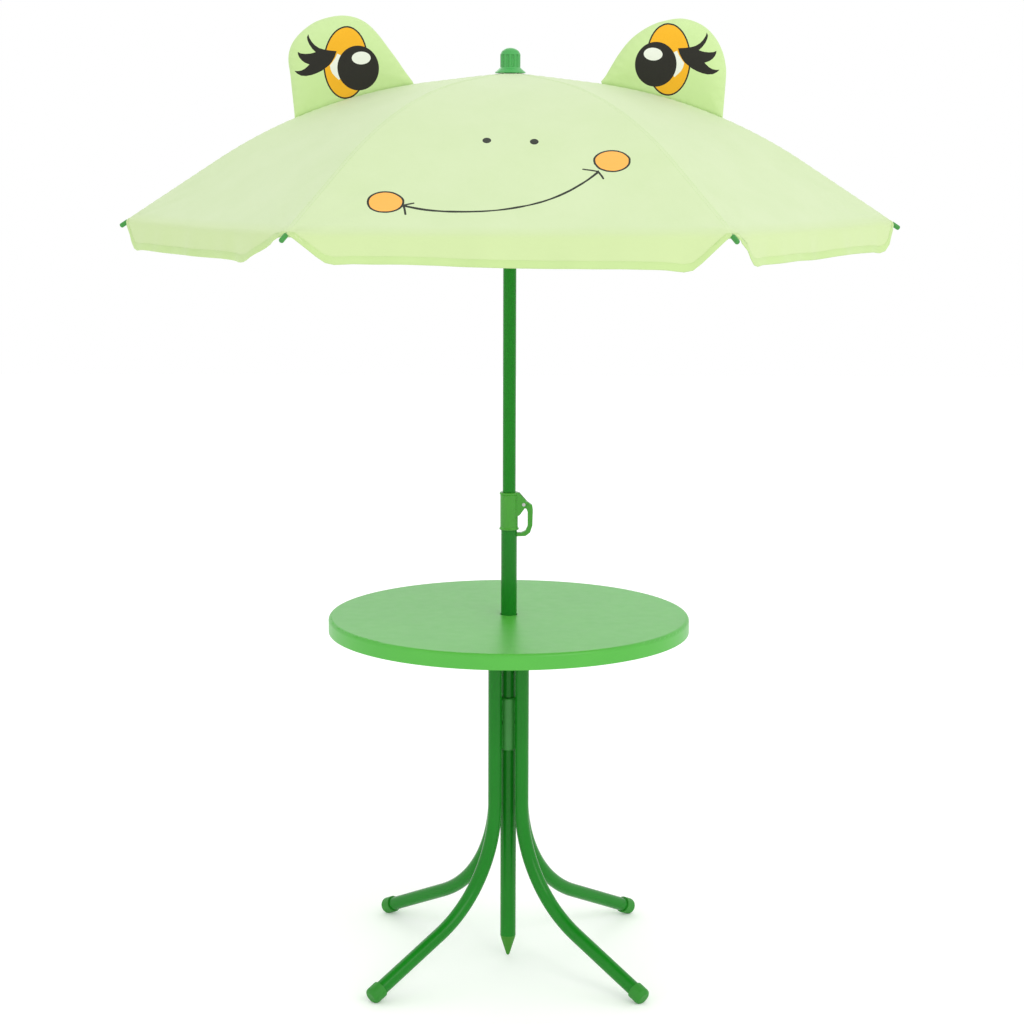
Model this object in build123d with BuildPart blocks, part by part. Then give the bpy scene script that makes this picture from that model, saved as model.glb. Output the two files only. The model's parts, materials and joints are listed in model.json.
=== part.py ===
"""Children's parasol with its table stand.

A fabric canopy on six folding ribs, a two-piece mast with a lever clamp, and a round table
whose four bent legs hold the mast upright. Millimetres, +Z up, origin on the floor under the
mast. The front is -Y.
"""
from build123d import *
from math import atan2, cos, degrees, hypot, radians, sin, tan
import os

os.makedirs("parts", exist_ok=True)

# ---------------------------------------------------------------- driving dimensions
GAP = 0.3                     # between pieces that move past each other
PIN_PLAY = 0.05               # radial play of a pin in its hole

# table
TABLE_R = 250.0
TABLE_TOP_Z = 497.0
RIM_HEIGHT = 21.0
TABLE_SKIN = 3.5
RIM_ROUND = 5.0
MAST_HOLE_R = 12.3
BOSS_SIDE = 66.0
BOSS_DEPTH = 26.0
RIB_COUNT_UNDER_TOP = 8

# legs
LEG_R = 9.75
LEG_WALL = 1.2
LEG_OFFSET = 18.6             # from the mast's axis to a leg's axis, along X and along Y
LEG_BEND_R = 180.0
LEG_BEND_TURN = 66.0          # degrees from upright to the sloping foot
LEG_BEND_TOP_Z = 229.0
FOOT_REACH = 229.0            # from a leg's upright axis out to its foot
CAP_R = 11.8
CAP_LENGTH = 19.0
CAP_ROUND = 5.5

# hub that spaces the legs round the mast
HUB_LOW_Z, HUB_SEAM_Z, HUB_HIGH_Z = 304.6, 345.1, 379.7
HUB_R = 15.2
HUB_BORE_R = 11.4
HUB_WEB = 7.0

# mast
LOWER_R, LOWER_WALL = 11.0, 1.2
LOWER_Z0, LOWER_Z1 = 31.0, 640.0
SPIKE_TIP_Z = 1.0
UPPER_R, UPPER_WALL = 9.0, 1.0
UPPER_Z0, UPPER_Z1 = 485.0, 1234.0

# clamp
COLLAR_R = 12.2
COLLAR_Z0, COLLAR_Z1 = 616.8, 668.5
LEVER_PIVOT = (20.2, 652.0)   # x, z
LEVER_WIDTH = 9.0
LEVER_PIN_R = 1.5
LUG_THICK = 2.5

# canopy
SECTORS = 6
FABRIC = 1.0
RIDGE_START = (12.0, 1236.0)  # r, z on the fabric's outer face along a rib
RIDGE_SLOPE_IN, RIDGE_SLOPE_OUT = 7.0, 33.0
RIDGE_ARC_FROM = 110.0
RIDGE_ARC_R = 675.0
FABRIC_CORNER_R = 514.0
TIP_END_R = 526.5
TIP_R = 3.2
PANEL_FROM = 13.5             # from the mast to a panel's inner edge
SKIRT_LOW_Z = 1003.0
SKIRT_FLARE = 9.0
SKIRT_INSET = 42.0

# folding frame
RIB_ROD_R = 2.0
ROD_END_R = FABRIC_CORNER_R + 4
RIB_UNDER_FABRIC = 0.8        # clear space between a rib and the fabric over it
PIVOT_R, PIVOT_Z = 15.0, 1226.0
KNEE_R = 235.0                # where the stretcher's rivet sits along the rib
KNEE_DROP = 7.0
PIN_R = 1.0
SLOT_W = 4.6
HUB_TOP_R = 20.0
RUNNER_R = 21.0
STRETCHER_ROD_R = 1.75
RIVET_R = 1.25

# finial
FINIAL_Z = 1235.35            # the flange's lower rim
FINIAL_HEIGHT = 33.2
FINIAL_FLANGE_R = 20.3
FINIAL_BODY_R = 13.4
FINIAL_FLUTES = 12

# ears
EAR_HALF_THICK = 11.0


# ---------------------------------------------------------------- shared geometry
def out_and_up(angle):
    """The upright plane through the mast's axis whose x runs outward at this angle."""
    return Plane(origin=(0, 0, 0), x_dir=(cos(radians(angle)), sin(radians(angle)), 0),
                 z_dir=(sin(radians(angle)), -cos(radians(angle)), 0))


def tangent(angle):
    return Vector(-sin(radians(angle)), cos(radians(angle)), 0)


SLOPE_IN, SLOPE_OUT = radians(RIDGE_SLOPE_IN), radians(RIDGE_SLOPE_OUT)
ARC_START_Z = RIDGE_START[1] - (RIDGE_ARC_FROM - RIDGE_START[0]) * tan(SLOPE_IN)
RIDGE_ARC_TO = RIDGE_ARC_FROM + RIDGE_ARC_R * (sin(SLOPE_OUT) - sin(SLOPE_IN))
ARC_END_Z = ARC_START_Z - RIDGE_ARC_R * (cos(SLOPE_IN) - cos(SLOPE_OUT))


def ridge(r):
    """Height of the fabric's outer face on a rib's line, at this distance from the mast."""
    if r <= RIDGE_ARC_FROM:
        return RIDGE_START[1] - (r - RIDGE_START[0]) * tan(SLOPE_IN)
    if r <= RIDGE_ARC_TO:
        lean = sin(SLOPE_IN) + (r - RIDGE_ARC_FROM) / RIDGE_ARC_R
        return ARC_START_Z - RIDGE_ARC_R * (cos(SLOPE_IN) - (1 - lean * lean) ** 0.5)
    return ARC_END_Z - (r - RIDGE_ARC_TO) * tan(SLOPE_OUT)


def slope(r):
    """Downward slope of the ridge there, in radians."""
    step = 0.5
    return atan2(ridge(r - step) - ridge(r + step), 2 * step)


RIB_DROP = FABRIC + RIB_UNDER_FABRIC + RIB_ROD_R       # from the fabric's outer face to a rib's axis


def rib_axis(r):
    return r - RIB_DROP * sin(slope(r)), ridge(r) - RIB_DROP * cos(slope(r))


knee_axis = rib_axis(KNEE_R)
KNEE = (knee_axis[0] - KNEE_DROP * sin(slope(KNEE_R)), knee_axis[1] - KNEE_DROP * cos(slope(KNEE_R)))
STRETCHER_LENGTH = hypot(KNEE[0] - PIVOT_R, KNEE[1] - PIVOT_Z)
RUNNER_PIVOT_Z = 2 * KNEE[1] - PIVOT_Z    # the stretcher is as long as the rib's inner span
rib_angles = [60 * i for i in range(SECTORS)]
panel_angles = [30 + 60 * i for i in range(SECTORS)]


def save(builder, name):
    builder.part.label = name
    export_step(builder.part, f"parts/{name}.step")


# ---------------------------------------------------------------- table top
RIM_LOW_Z = TABLE_TOP_Z - RIM_HEIGHT
BOSS_LOW_Z = TABLE_TOP_Z - TABLE_SKIN - BOSS_DEPTH
leg_spots = [(x * LEG_OFFSET, y * LEG_OFFSET) for x in (-1, 1) for y in (-1, 1)]

with BuildPart() as table_top:
    with BuildSketch(Plane.XY.offset(RIM_LOW_Z)):
        Circle(TABLE_R)
    extrude(amount=RIM_HEIGHT)
    fillet(table_top.edges().group_by(Axis.Z)[-1], RIM_ROUND)
    with BuildSketch(Plane.XY.offset(RIM_LOW_Z)):
        Circle(TABLE_R - TABLE_SKIN)
    extrude(amount=RIM_HEIGHT - TABLE_SKIN, mode=Mode.SUBTRACT)
    with BuildSketch(Plane.XY.offset(BOSS_LOW_Z)):
        RectangleRounded(BOSS_SIDE, BOSS_SIDE, 14)
    extrude(amount=BOSS_DEPTH + 1)
    with BuildSketch(Plane.XY.offset(RIM_LOW_Z + 4)):
        with PolarLocations((TABLE_R + 26) / 2, RIB_COUNT_UNDER_TOP, start_angle=22.5):
            Rectangle(TABLE_R - 28, 2.5)
    extrude(amount=RIM_HEIGHT - TABLE_SKIN - 3)
    with BuildSketch(Plane.XY.offset(BOSS_LOW_Z)):
        with Locations(*leg_spots):
            Circle(LEG_R)
    extrude(amount=BOSS_DEPTH - 2, mode=Mode.SUBTRACT)
    with BuildSketch(Plane.XY.offset(BOSS_LOW_Z)):
        Circle(MAST_HOLE_R)
    extrude(amount=BOSS_DEPTH + TABLE_SKIN, mode=Mode.SUBTRACT)
save(table_top, "table_top")

# ---------------------------------------------------------------- legs and their caps
BEND = radians(LEG_BEND_TURN)
bend_end = (LEG_BEND_R * (1 - cos(BEND)), LEG_BEND_TOP_Z - LEG_BEND_R * sin(BEND))
FOOT_SLOPE = radians(90 - LEG_BEND_TURN)
foot_end = (FOOT_REACH, bend_end[1] - (FOOT_REACH - bend_end[0]) * tan(FOOT_SLOPE))
LEG_TOP_Z = BOSS_LOW_Z + BOSS_DEPTH - 2
legs = {"front_left": 225, "front_right": 315, "rear_right": 45, "rear_left": 135}

for place, angle in legs.items():
    axis_r = LEG_OFFSET * 2 ** 0.5
    leg_plane = out_and_up(angle)
    with BuildPart() as leg:
        with BuildLine(leg_plane):
            upright = Line((axis_r, LEG_TOP_Z), (axis_r, LEG_BEND_TOP_Z))
            bend = JernArc(upright @ 1, upright % 1, LEG_BEND_R, LEG_BEND_TURN)
            Line(bend @ 1, (axis_r + foot_end[0], foot_end[1]))
        with BuildSketch(Plane(origin=upright @ 0, z_dir=(0, 0, -1))):
            Circle(LEG_R)
            Circle(LEG_R - LEG_WALL, mode=Mode.SUBTRACT)
        sweep()
    save(leg, f"leg_{place}")

    down = (cos(FOOT_SLOPE), -sin(FOOT_SLOPE))
    foot = leg_plane.from_local_coords(Vector(axis_r + foot_end[0], foot_end[1], 0))
    along = leg_plane.from_local_coords(Vector(*down, 0)) - leg_plane.from_local_coords(Vector(0, 0, 0))
    cap_plane = Plane(origin=foot - along * (CAP_LENGTH - 5), z_dir=along)
    with BuildPart() as cap:
        with BuildSketch(cap_plane):
            Circle(CAP_R)
        extrude(amount=CAP_LENGTH)
        end_face = cap.faces().sort_by(lambda face: (face.center() - foot).dot(along))[-1]
        fillet(end_face.edges(), CAP_ROUND)
        with BuildSketch(cap_plane):
            Circle(LEG_R)
        extrude(amount=CAP_LENGTH - 5, mode=Mode.SUBTRACT)
        split(bisect_by=Plane.XY, keep=Keep.TOP)
    save(cap, f"foot_cap_{place}")

# ---------------------------------------------------------------- screws under the table top
SCREW_Z = BOSS_LOW_Z + 11
SCREW_HEAD_R, SCREW_HEAD = 3.8, 2.4
with BuildPart() as leg_screws:
    for x, y in leg_spots:
        side = 1 if x > 0 else -1
        with BuildSketch(Plane(origin=(side * BOSS_SIDE / 2, y, SCREW_Z), z_dir=(side, 0, 0))):
            Circle(SCREW_HEAD_R)
        extrude(amount=SCREW_HEAD, taper=20)
save(leg_screws, "leg_screws")

# ---------------------------------------------------------------- leg hub, in two halves
for name, low, high in (("leg_hub_lower", HUB_LOW_Z, HUB_SEAM_Z), ("leg_hub_upper", HUB_SEAM_Z, HUB_HIGH_Z)):
    with BuildPart() as hub_half:
        with BuildSketch(Plane.XY.offset(low)):
            Circle(HUB_R)
        extrude(amount=high - low)
        outer_edge = hub_half.edges().sort_by(Axis.Z)[0 if low == HUB_LOW_Z else -1]
        fillet(outer_edge, 2.5)
        with BuildSketch(Plane.XY.offset(low + 3)):
            Rectangle(2 * LEG_OFFSET * 2 ** 0.5, HUB_WEB, rotation=45)
            Rectangle(2 * LEG_OFFSET * 2 ** 0.5, HUB_WEB, rotation=-45)
        extrude(amount=high - low - 6)
        with BuildSketch(Plane.XY.offset(low - 1)):
            with Locations(*leg_spots):
                Circle(LEG_R)
            Circle(HUB_BORE_R)
        extrude(amount=high - low + 2, mode=Mode.SUBTRACT)
    save(hub_half, name)

HUB_SCREW_HEAD_R = 2.4
with BuildPart() as hub_screws:
    for side, z in ((1, 372.0), (1, 352.0), (-1, 338.0), (-1, 312.0)):
        seat = Plane(origin=(side * HUB_R, 0, z), z_dir=(side, 0, 0))
        with BuildSketch(seat):
            Circle(HUB_SCREW_HEAD_R)
        extrude(amount=1.6)
save(hub_screws, "hub_screws")

# ---------------------------------------------------------------- lower mast
with BuildPart() as lower_pole:
    with BuildSketch(Plane.XY.offset(LOWER_Z0)):
        Circle(LOWER_R)
        Circle(LOWER_R - LOWER_WALL, mode=Mode.SUBTRACT)
    extrude(amount=LOWER_Z1 - LOWER_Z0)
save(lower_pole, "lower_pole")

SPIKE_PLUG = 26.0
with BuildPart() as ground_spike:
    with BuildSketch(Plane.XZ):
        with BuildLine():
            Polyline((0, LOWER_Z0 + SPIKE_PLUG), (LOWER_R - LOWER_WALL, LOWER_Z0 + SPIKE_PLUG),
                     (LOWER_R - LOWER_WALL, LOWER_Z0), (LOWER_R, LOWER_Z0), (LOWER_R - 0.6, LOWER_Z0 - 3))
            Polyline((LOWER_R - 0.6, LOWER_Z0 - 3), (2.4, SPIKE_TIP_Z + 1.4), (1.2, SPIKE_TIP_Z),
                     (0, SPIKE_TIP_Z), (0, LOWER_Z0 + SPIKE_PLUG))
        make_face()
    revolve(axis=Axis.Z)
save(ground_spike, "ground_spike")

# ---------------------------------------------------------------- clamp collar, pad, pin, lever
pivot_x, pivot_z = LEVER_PIVOT
UPPER_BORE_R = UPPER_R + 0.1
LUG_OUT = LEVER_WIDTH / 2 + GAP + LUG_THICK
WINDOW_LOW, WINDOW_HIGH = 646.6, 657.4
LEVER_HEAD_R = 4.9
with BuildPart() as clamp_collar:
    with BuildSketch(Plane.XZ):
        with BuildLine():
            Polyline((LOWER_R, COLLAR_Z0), (13.5, COLLAR_Z0), (13.5, COLLAR_Z0 + 1.2), (COLLAR_R, COLLAR_Z0 + 3.6),
                     (COLLAR_R, COLLAR_Z1 - 3.4), (13.0, COLLAR_Z1 - 2.6), (13.0, COLLAR_Z1 - 0.6),
                     (12.4, COLLAR_Z1), (UPPER_BORE_R, COLLAR_Z1), (UPPER_BORE_R, LOWER_Z1),
                     (LOWER_R, LOWER_Z1), (LOWER_R, COLLAR_Z0))
        make_face()
    revolve(axis=Axis.Z)
    with BuildSketch(Plane.XZ.offset(-LUG_OUT)):
        with BuildLine():
            FilletPolyline((8, 667.3), (14.2, 667.3), (25.3, 654.6), (20.4, 645.2), (14.4, 637.2), (8, 634.5),
                           radius=1.6, close=False)
            Line((8, 634.5), (8, 667.3))
        make_face()
    extrude(amount=2 * LUG_OUT)
    with BuildSketch(Plane.XY.offset(LOWER_Z1 - 12)):
        Circle(LOWER_R)
    extrude(amount=12, mode=Mode.SUBTRACT)
    with BuildSketch(Plane.XY.offset(LOWER_Z1)):
        Circle(UPPER_BORE_R)
    extrude(amount=40, mode=Mode.SUBTRACT)
    with Locations((COLLAR_R + GAP + 15, 0, pivot_z)):
        Box(30, LEVER_WIDTH + 2 * GAP, 60, mode=Mode.SUBTRACT)
    with Locations((12, 0, (WINDOW_LOW + WINDOW_HIGH) / 2)):
        Box(10, LEVER_WIDTH - 1, WINDOW_HIGH - WINDOW_LOW, mode=Mode.SUBTRACT)
    with Locations(Location((pivot_x, 0, pivot_z), (90, 0, 0))):
        Cylinder(LEVER_PIN_R, 40, mode=Mode.SUBTRACT)
save(clamp_collar, "clamp_collar")

with BuildPart() as clamp_pad:
    pad_x0, pad_x1 = UPPER_R + 0.05, pivot_x - LEVER_HEAD_R - GAP
    with Locations(((8 + pad_x1) / 2, 0, (WINDOW_LOW + WINDOW_HIGH) / 2)):
        Box(pad_x1 - 8, LEVER_WIDTH - 2, WINDOW_HIGH - WINDOW_LOW - 1)
    with Locations((0, 0, pivot_z)):
        Cylinder(pad_x0, 30, mode=Mode.SUBTRACT)
save(clamp_pad, "clamp_pad")

with BuildPart() as lever_pin:
    with Locations(Location((pivot_x, 0, pivot_z), (90, 0, 0))):
        Cylinder(LEVER_PIN_R, 2 * LUG_OUT + 1.2)
        with Locations((0, 0, LUG_OUT + 0.4), (0, 0, -LUG_OUT - 0.4)):
            Cylinder(LEVER_PIN_R + 0.9, 0.8)
save(lever_pin, "lever_pin")

with BuildPart() as clamp_lever:
    with BuildSketch(Plane.XZ.offset(-LEVER_WIDTH / 2)):
        with BuildLine():
            outer_edge = [(19, 656.9), (25, 655.5), (31.8, 650.5), (32.8, 644), (32.2, 622.5), (29, 612.6),
                          (22.7, 607.8), (8, 607.2)]
            finger_edge = [(8, 612.2), (17.2, 612.2), (22.7, 614.8), (25.6, 621.5), (25.6, 641.5), (23.8, 645.9),
                           (19, 647.1)]
            FilletPolyline(*outer_edge, *finger_edge, radius=1.4, close=True)
        make_face()
        with Locations((pivot_x, pivot_z)):
            Circle(LEVER_HEAD_R)
    extrude(amount=LEVER_WIDTH)
    with BuildSketch(Plane.XZ.offset(-LEVER_WIDTH / 2)):
        with Locations((pivot_x, pivot_z)):
            Circle(LEVER_PIN_R + PIN_PLAY)
    extrude(amount=LEVER_WIDTH, mode=Mode.SUBTRACT)
    with Locations((0, 0, 612)):
        Cylinder(LOWER_R + GAP, 30, mode=Mode.SUBTRACT)
save(clamp_lever, "clamp_lever")

GUIDE_LOW_Z = 600.0
with BuildPart() as guide_bush:
    with BuildSketch(Plane.XY.offset(GUIDE_LOW_Z)):
        Circle(LOWER_R - LOWER_WALL)
        Circle(UPPER_R + 0.06, mode=Mode.SUBTRACT)
    extrude(amount=LOWER_Z1 - GUIDE_LOW_Z)
save(guide_bush, "guide_bush")

# ---------------------------------------------------------------- upper mast
with BuildPart() as upper_pole:
    with BuildSketch(Plane.XY.offset(UPPER_Z0)):
        Circle(UPPER_R)
        Circle(UPPER_R - UPPER_WALL, mode=Mode.SUBTRACT)
    extrude(amount=UPPER_Z1 - UPPER_Z0)
save(upper_pole, "upper_pole")

with BuildPart() as pole_plug:
    with BuildSketch(Plane.XY.offset(UPPER_Z0 - 6)):
        Circle(LOWER_R - LOWER_WALL - 0.08)
    extrude(amount=6)
    with BuildSketch(Plane.XY.offset(UPPER_Z0)):
        Circle(UPPER_R - UPPER_WALL)
    extrude(amount=16)
save(pole_plug, "pole_plug")

HUB_TOP_LOW, HUB_TOP_HIGH = 1217.0, 1232.6
SLOT_FROM = 11.2
with BuildPart() as top_hub:
    with BuildSketch(Plane.XY.offset(HUB_TOP_LOW)):
        Circle(HUB_TOP_R)
        with PolarLocations((SLOT_FROM + HUB_TOP_R + 4) / 2, SECTORS):
            Rectangle(HUB_TOP_R + 4 - SLOT_FROM, SLOT_W, mode=Mode.SUBTRACT)
        Circle(UPPER_R, mode=Mode.SUBTRACT)
    extrude(amount=HUB_TOP_HIGH - HUB_TOP_LOW)
    for angle in rib_angles:
        pin_plane = Plane(origin=out_and_up(angle).from_local_coords(Vector(PIVOT_R, PIVOT_Z, 0)),
                          z_dir=tangent(angle))
        with BuildSketch(pin_plane):
            Circle(PIN_R)
        extrude(amount=5, both=True, mode=Mode.SUBTRACT)
save(top_hub, "top_hub")

with BuildPart() as hub_pins:
    for angle in rib_angles:
        pin_plane = Plane(origin=out_and_up(angle).from_local_coords(Vector(PIVOT_R, PIVOT_Z, 0)),
                          z_dir=tangent(angle))
        with BuildSketch(pin_plane):
            Circle(PIN_R)
        extrude(amount=5, both=True)
save(hub_pins, "hub_pins")

# ---------------------------------------------------------------- finial
STEM_R = UPPER_R - UPPER_WALL - 0.08
FLUTE_LOW, FLUTE_HIGH = FINIAL_Z + 7.8, FINIAL_Z + 24.6
DOME_TOP = FINIAL_Z + FINIAL_HEIGHT
DOME_EDGE = (11.4, FINIAL_Z + 28.6)
dome_rise = DOME_TOP - DOME_EDGE[1]
DOME_R = (DOME_EDGE[0] ** 2 + dome_rise ** 2) / (2 * dome_rise)
dome_start = degrees(atan2(DOME_EDGE[1] - (DOME_TOP - DOME_R), DOME_EDGE[0]))
with BuildPart() as finial:
    with BuildSketch(Plane.XZ):
        with BuildLine():
            Polyline((0, DOME_TOP), (0, FINIAL_Z - 30), (STEM_R, FINIAL_Z - 30), (STEM_R, FINIAL_Z + 1),
                     (PANEL_FROM - 0.5, FINIAL_Z + 1), (FINIAL_FLANGE_R, FINIAL_Z),
                     (FINIAL_FLANGE_R, FINIAL_Z + 1.2), (FINIAL_BODY_R + 0.8, FINIAL_Z + 6.4),
                     (FINIAL_BODY_R, FINIAL_Z + 7.4), (FINIAL_BODY_R, FLUTE_HIGH), DOME_EDGE)
            CenterArc((0, DOME_TOP - DOME_R), DOME_R, dome_start, 90 - dome_start)
        make_face()
    revolve(axis=Axis.Z)
    with BuildSketch(Plane.XY.offset(FLUTE_LOW)):
        with PolarLocations(FINIAL_BODY_R + 0.7, FINIAL_FLUTES, start_angle=15):
            Circle(2.2)
    extrude(amount=FLUTE_HIGH - 0.6 - FLUTE_LOW, mode=Mode.SUBTRACT)
save(finial, "finial")

# ---------------------------------------------------------------- runner
RUNNER_LOW, RUNNER_HIGH = RUNNER_PIVOT_Z - 12, RUNNER_PIVOT_Z + 12
RUNNER_BORE_R = UPPER_R + 0.06
CHANNEL = (2 * (PIN_R + GAP), 8.4)        # the upright channel for a stretcher's cross pin
SLEEVE_R, SLEEVE_BEAD_R = 11.0, 11.5      # the stretchers' ends pass outside this sleeve
with BuildPart() as runner:
    with BuildSketch(Plane.XY.offset(RUNNER_LOW)):
        Circle(RUNNER_R)
        with PolarLocations((SLOT_FROM + RUNNER_R + 4) / 2, SECTORS):
            Rectangle(RUNNER_R + 4 - SLOT_FROM, SLOT_W, mode=Mode.SUBTRACT)
        with PolarLocations(PIVOT_R, SECTORS):
            Rectangle(*CHANNEL, mode=Mode.SUBTRACT)
    extrude(amount=RUNNER_HIGH - RUNNER_LOW)
    with BuildSketch(Plane.XZ):
        with BuildLine():
            Polyline((UPPER_R, RUNNER_LOW - 22), (SLEEVE_BEAD_R, RUNNER_LOW - 22),
                     (SLEEVE_BEAD_R, RUNNER_LOW - 20), (SLEEVE_R, RUNNER_LOW - 19), (SLEEVE_R, RUNNER_LOW),
                     (UPPER_R, RUNNER_LOW), (UPPER_R, RUNNER_LOW - 22))
        make_face()
    revolve(axis=Axis.Z)
    with BuildSketch(Plane.XY.offset(RUNNER_LOW - 30)):
        Circle(RUNNER_BORE_R)
    extrude(amount=60, mode=Mode.SUBTRACT)
save(runner, "runner")

# ---------------------------------------------------------------- ribs, their tips and the stretchers
# Each is shaped once in the upright plane along +X and then placed at its angle.
ALONG_X = out_and_up(0)
ROD_START_R = 26.0
TAB_HALF, EAR_IN, EAR_OUT = 1.1, 1.5, 2.7
TAB_R = 2.9
ROD_FROM_RIVET = 5.0
rod_start = rib_axis(ROD_START_R)
across = (KNEE[0] - PIVOT_R) / STRETCHER_LENGTH
upward = (KNEE[1] - RUNNER_PIVOT_Z) / STRETCHER_LENGTH


def on_stretcher(from_knee):
    """A point on the stretcher's axis, this far inward of the rivet."""
    return KNEE[0] - from_knee * across, KNEE[1] - from_knee * upward


with BuildPart() as rib_shape:
    with BuildLine(ALONG_X):
        inner = Line(rod_start, rib_axis(RIDGE_ARC_FROM))
        bow = JernArc(inner @ 1, inner % 1, RIDGE_ARC_R - RIB_DROP, RIDGE_SLOPE_IN - RIDGE_SLOPE_OUT)
        outer_length = (ROD_END_R - RIDGE_ARC_TO) / cos(SLOPE_OUT)
        outer = Line(bow @ 1, bow @ 1 + (bow % 1) * outer_length)
    with BuildSketch(Plane(origin=inner @ 0, z_dir=inner % 0)):
        Circle(RIB_ROD_R)
    sweep()
    with BuildSketch(ALONG_X):
        with BuildLine():
            Line((PIVOT_R, PIVOT_Z), rib_axis(ROD_START_R + 5))
        trace(line_width=2 * RIB_ROD_R)
        with Locations((PIVOT_R, PIVOT_Z)):
            Circle(3.3)
    extrude(amount=1.8, both=True)
    with BuildSketch(ALONG_X):
        with Locations(KNEE):
            Circle(TAB_R)
        with BuildLine():
            Polyline((KNEE[0] - TAB_R, KNEE[1]), (KNEE[0] + TAB_R, KNEE[1]), rib_axis(KNEE_R + 7),
                     rib_axis(KNEE_R - 7), (KNEE[0] - TAB_R, KNEE[1]))
        make_face()
    extrude(amount=TAB_HALF, both=True)
    with BuildSketch(ALONG_X):
        with Locations((PIVOT_R, PIVOT_Z)):
            Circle(PIN_R + PIN_PLAY)
        with Locations(KNEE):
            Circle(RIVET_R + PIN_PLAY)
    extrude(amount=6, both=True, mode=Mode.SUBTRACT)

with BuildPart() as tip_shape:
    with BuildSketch(Plane(origin=outer @ 1, z_dir=outer % 1)):
        Circle(TIP_R)
    extrude(amount=(TIP_END_R - (outer @ 1).X) / cos(SLOPE_OUT))
    tip_face = tip_shape.faces().sort_by(Axis.X)[-1]
    fillet(tip_face.edges(), 0.75 * TIP_R)

with BuildPart() as stretcher_shape:
    with BuildLine(ALONG_X):
        rod = Line(on_stretcher(STRETCHER_LENGTH - 1.5), on_stretcher(ROD_FROM_RIVET))
    with BuildSketch(Plane(origin=rod @ 0, z_dir=rod % 0)):
        Circle(STRETCHER_ROD_R)
    sweep()
    with BuildSketch(ALONG_X):
        with Locations((PIVOT_R, RUNNER_PIVOT_Z)):
            Circle(3.0)
    extrude(amount=1.7, both=True)
    with BuildSketch(ALONG_X):
        with Locations((PIVOT_R, RUNNER_PIVOT_Z)):
            Circle(PIN_R)
    extrude(amount=3.8, both=True)
    with BuildSketch(ALONG_X):
        with BuildLine():
            Line(on_stretcher(11), KNEE)
        trace(line_width=4.6)
        with Locations(KNEE):
            Circle(2.3)
    extrude(amount=EAR_OUT, both=True)
    with BuildSketch(ALONG_X):
        with BuildLine():
            Line(on_stretcher(ROD_FROM_RIVET + 0.5), on_stretcher(-8))
        trace(line_width=14)
    extrude(amount=EAR_IN, both=True, mode=Mode.SUBTRACT)
    with BuildSketch(ALONG_X):
        with Locations(KNEE):
            Circle(RIVET_R)
    extrude(amount=6, both=True, mode=Mode.SUBTRACT)

with BuildPart() as rivet_shape:
    with BuildSketch(ALONG_X):
        with Locations(KNEE):
            Circle(RIVET_R)
    extrude(amount=EAR_OUT, both=True)
    for side in (-1, 1):
        with BuildSketch(ALONG_X.offset(side * EAR_OUT)):
            with Locations(KNEE):
                Circle(2.1)
        extrude(amount=side * 0.9)


def save_round_the_mast(shape, name, angles):
    """Writes one copy of a shape at each angle, numbered from 1."""
    for number, angle in enumerate(angles, start=1):
        with BuildPart() as copy:
            with Locations(Location((0, 0, 0), (0, 0, angle))):
                add(shape.part)
        save(copy, f"{name}_{number}")


save_round_the_mast(rib_shape, "rib", rib_angles)
save_round_the_mast(tip_shape, "rib_tip", rib_angles)
save_round_the_mast(stretcher_shape, "stretcher", rib_angles)
save_round_the_mast(rivet_shape, "knee_rivet", rib_angles)

# ---------------------------------------------------------------- canopy panels
HALF = radians(180 / SECTORS)
hem_line = FABRIC_CORNER_R * cos(HALF)
hem_z = ridge(FABRIC_CORNER_R)
hem_half = FABRIC_CORNER_R * sin(HALF)
FABRIC_DOWN = FABRIC / cos(SLOPE_OUT)      # the fabric's thickness measured straight down
SEAM_GAP = 0.25
bend_radii = [RIDGE_ARC_FROM + (RIDGE_ARC_TO - RIDGE_ARC_FROM) * step / 6 for step in range(7)]
SKIRT_CUT_Z = hem_z - 1.1                  # where a skirt's slanted ends begin
SKIRT_CLEAR = 8.0                          # from a rib's line to the skirt's upper corner


def panel_bend(drop):
    """Points of a panel's bend along its middle, this far under its outer face."""
    return [(r * cos(HALF), ridge(r) - drop) for r in bend_radii]


with BuildPart() as panel_shape:
    with BuildSketch(ALONG_X):
        with BuildLine():
            inner_z = ridge(PANEL_FROM / cos(HALF))
            Line((PANEL_FROM, inner_z), panel_bend(0)[0])
            Spline(*panel_bend(0))
            Polyline(panel_bend(0)[-1], (hem_line, hem_z), (hem_line + SKIRT_FLARE, SKIRT_LOW_Z),
                     (hem_line + SKIRT_FLARE - FABRIC, SKIRT_LOW_Z), (hem_line - FABRIC, hem_z - FABRIC),
                     panel_bend(FABRIC_DOWN)[-1])
            Spline(*panel_bend(FABRIC_DOWN))
            Polyline(panel_bend(FABRIC_DOWN)[0], (PANEL_FROM, inner_z - FABRIC_DOWN), (PANEL_FROM, inner_z))
        make_face()
    extrude(amount=hem_half + 20, both=True)
    with BuildSketch(Plane.XY.offset(hem_z - 60)):
        point_x = SEAM_GAP / sin(HALF)
        reach = hem_line + 30
        Polygon((point_x, 0), (reach, -(reach - point_x) * tan(HALF)), (reach, (reach - point_x) * tan(HALF)),
                align=None)
    extrude(amount=300, mode=Mode.INTERSECT)
    with BuildSketch(Plane(origin=(hem_line - 10, 0, 0), x_dir=(0, 1, 0), z_dir=(1, 0, 0))):
        for side in (-1, 1):
            Polygon((side * (hem_half + 40), SKIRT_CUT_Z), (side * (hem_half - SKIRT_CLEAR), SKIRT_CUT_Z),
                    (side * (hem_half - SKIRT_INSET), SKIRT_LOW_Z - 1), (side * (hem_half + 40), SKIRT_LOW_Z - 1),
                    align=None)
    extrude(amount=60, mode=Mode.SUBTRACT)
save_round_the_mast(panel_shape, "canopy_panel", panel_angles)

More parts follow.
